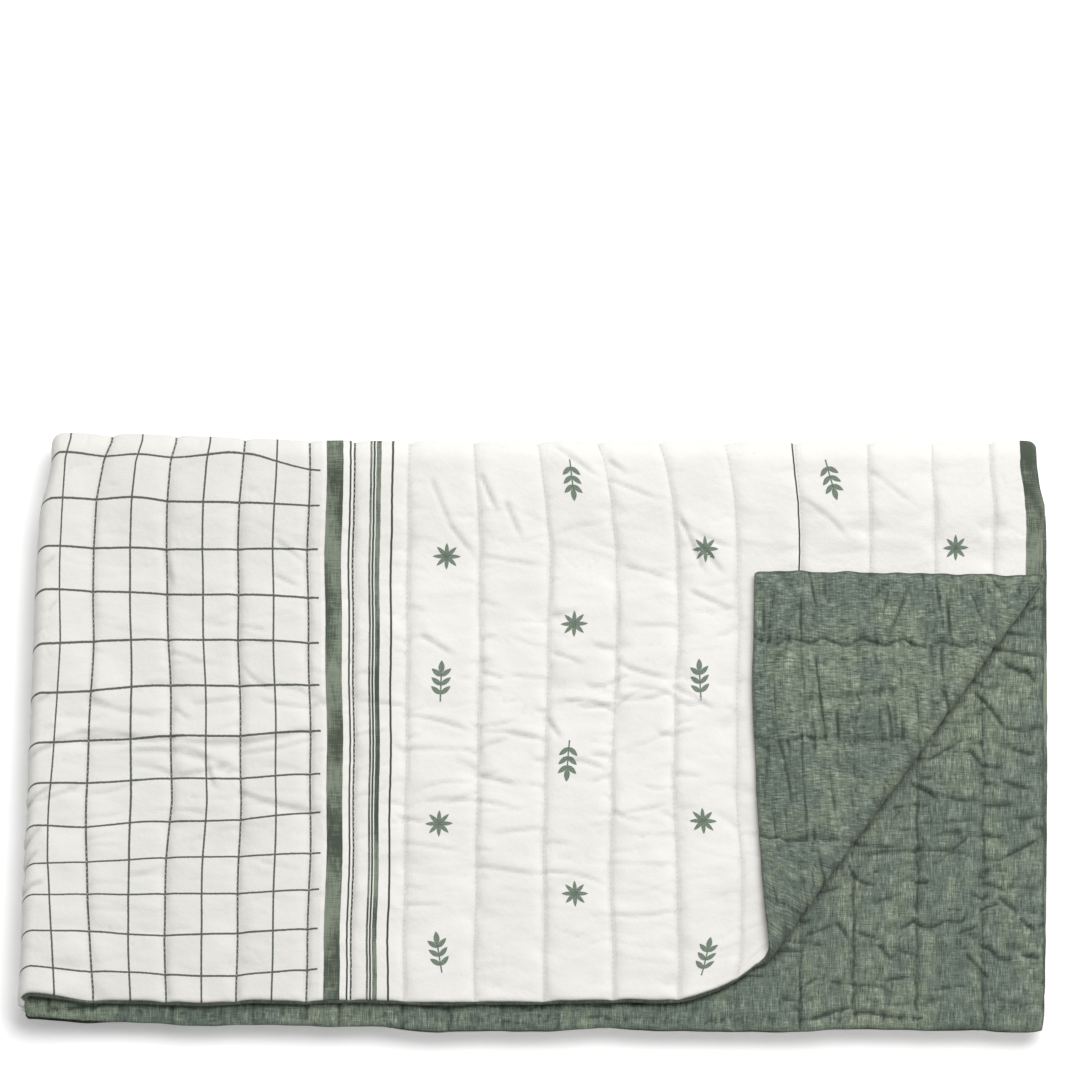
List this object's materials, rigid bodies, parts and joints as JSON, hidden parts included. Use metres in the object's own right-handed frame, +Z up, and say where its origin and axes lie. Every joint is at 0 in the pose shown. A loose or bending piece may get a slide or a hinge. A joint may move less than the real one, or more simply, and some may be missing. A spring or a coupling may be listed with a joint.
{
  "type": "folded quilt",
  "caption": "Cotton quilt folded in quarters, with hand-sewn channels, a checked panel, striped borders and one corner turned back to show its plain backing.",
  "frame": {"origin": "centre of the folded quilt's box, on the surface it lies on", "axes": "+Z up; +X along the folded length, from the end fold towards the turned corner; +Y from the open side towards the back fold"},
  "size_m": [1.1484, 0.6822, 0.0614],
  "materials": {
    "face_cloth": "matte washed plain-weave cotton, white with green checks and stripes",
    "backing_cloth": "matte green chambray with pale slubs"
  },
  "bodies": {
    "root": {"quilt_top": "face_cloth", "quilt_backing": "backing_cloth"}
  },
  "joints": []
}
